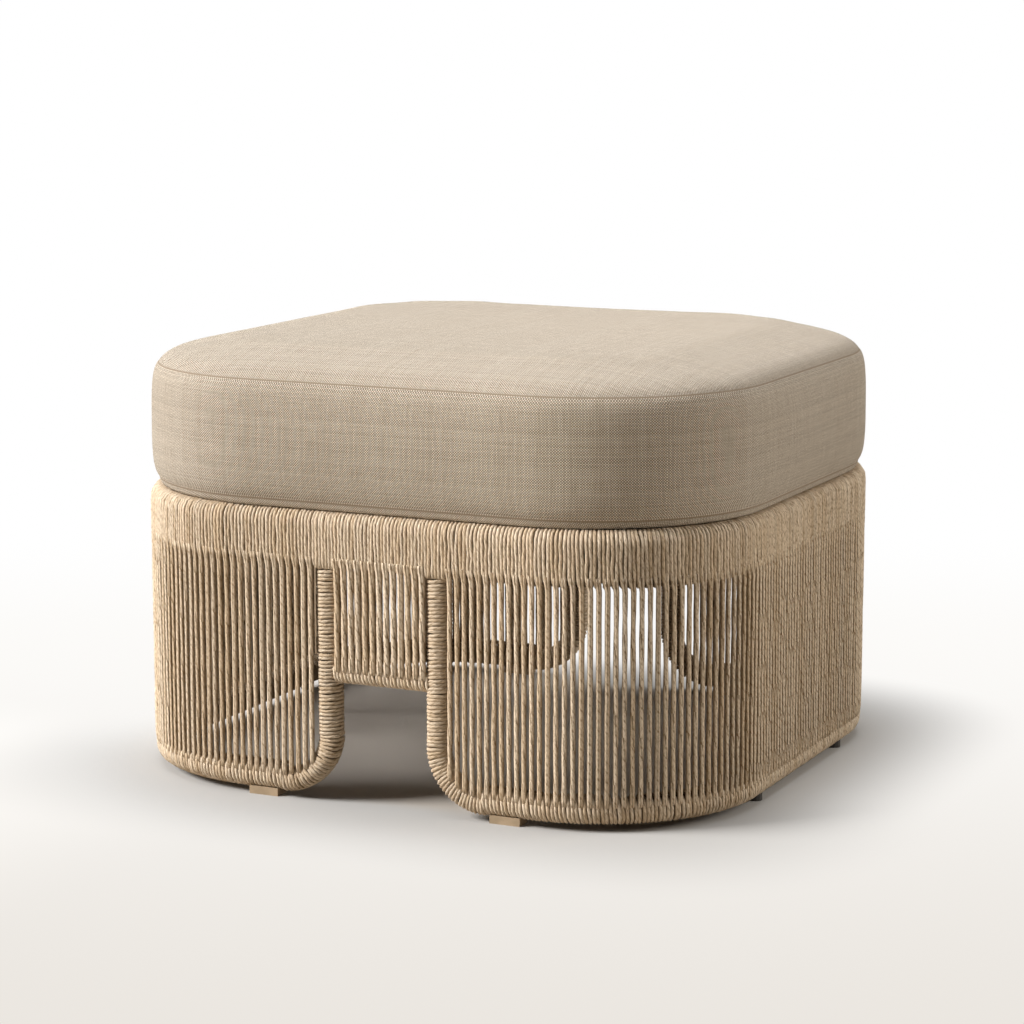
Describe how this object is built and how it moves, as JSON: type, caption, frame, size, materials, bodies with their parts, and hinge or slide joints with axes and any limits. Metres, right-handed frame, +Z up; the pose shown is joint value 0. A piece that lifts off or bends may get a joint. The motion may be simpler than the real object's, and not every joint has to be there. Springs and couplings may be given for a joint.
{
  "type": "outdoor ottoman footstool",
  "caption": "Low outdoor footstool: a rounded square base of upright cord strands on a hidden metal frame, with a loose boxed cushion.",
  "frame": {"origin": "on the floor under the middle of the base", "axes": "+Z up, +X to the right along the front face, +Y towards the back; the front notch faces -Y"},
  "size_m": [0.66, 0.622, 0.4406],
  "materials": {
    "cord": "sand coloured two-ply synthetic cord, matt",
    "cover": "beige basket-weave outdoor fabric",
    "foam": "off-white open-cell foam",
    "frame": "taupe powder coat",
    "foot": "tan moulded plastic",
    "glide": "dark moulded plastic",
    "screw": "plain stainless steel"
  },
  "bodies": {
    "base": {"top_rail": "frame", "left_leg_loop": "frame", "right_leg_loop": "frame", "left_side_post": "frame", "right_side_post": "frame", "front_bridge_bar": "frame", "back_bridge_bar": "frame", "deck_slat_1": "frame", "deck_slat_2": "frame", "deck_slat_3": "frame", "deck_slat_4": "frame", "deck_slat_5": "frame", "deck_slat_6": "frame", "deck_slat_7": "frame", "front_left_band_wrap": "cord", "front_right_band_wrap": "cord", "back_left_band_wrap": "cord", "back_right_band_wrap": "cord", "front_left_post_wrap": "cord", "front_right_post_wrap": "cord", "back_left_post_wrap": "cord", "back_right_post_wrap": "cord", "front_left_face_strands": "cord", "front_right_face_strands": "cord", "back_left_face_strands": "cord", "back_right_face_strands": "cord", "front_left_corner_strands": "cord", "front_right_corner_strands": "cord", "back_left_corner_strands": "cord", "back_right_corner_strands": "cord", "front_left_side_strands": "cord", "front_right_side_strands": "cord", "back_left_side_strands": "cord", "back_right_side_strands": "cord", "front_bridge_strands": "cord", "back_bridge_strands": "cord", "front_left_face_foot": "foot", "front_right_face_foot": "foot", "back_left_face_foot": "foot", "back_right_face_foot": "foot", "front_left_side_foot": "glide", "front_right_side_foot": "glide", "back_left_side_foot": "glide", "back_right_side_foot": "glide", "front_left_face_foot_screw": "screw", "front_right_face_foot_screw": "screw", "back_left_face_foot_screw": "screw", "back_right_face_foot_screw": "screw", "front_left_side_foot_screw": "screw", "front_right_side_foot_screw": "screw", "back_left_side_foot_screw": "screw", "back_right_side_foot_screw": "screw"},
    "cushion": {"cushion_top_cover": "cover", "cushion_boxing": "cover", "cushion_bottom_cover": "cover", "cushion_foam": "foam"}
  },
  "joints": [
    {"name": "cushion_lift", "type": "slide", "parent": "base", "child": "cushion", "axis": [0, 0, 1], "range_m": [0, 0.25]}
  ]
}
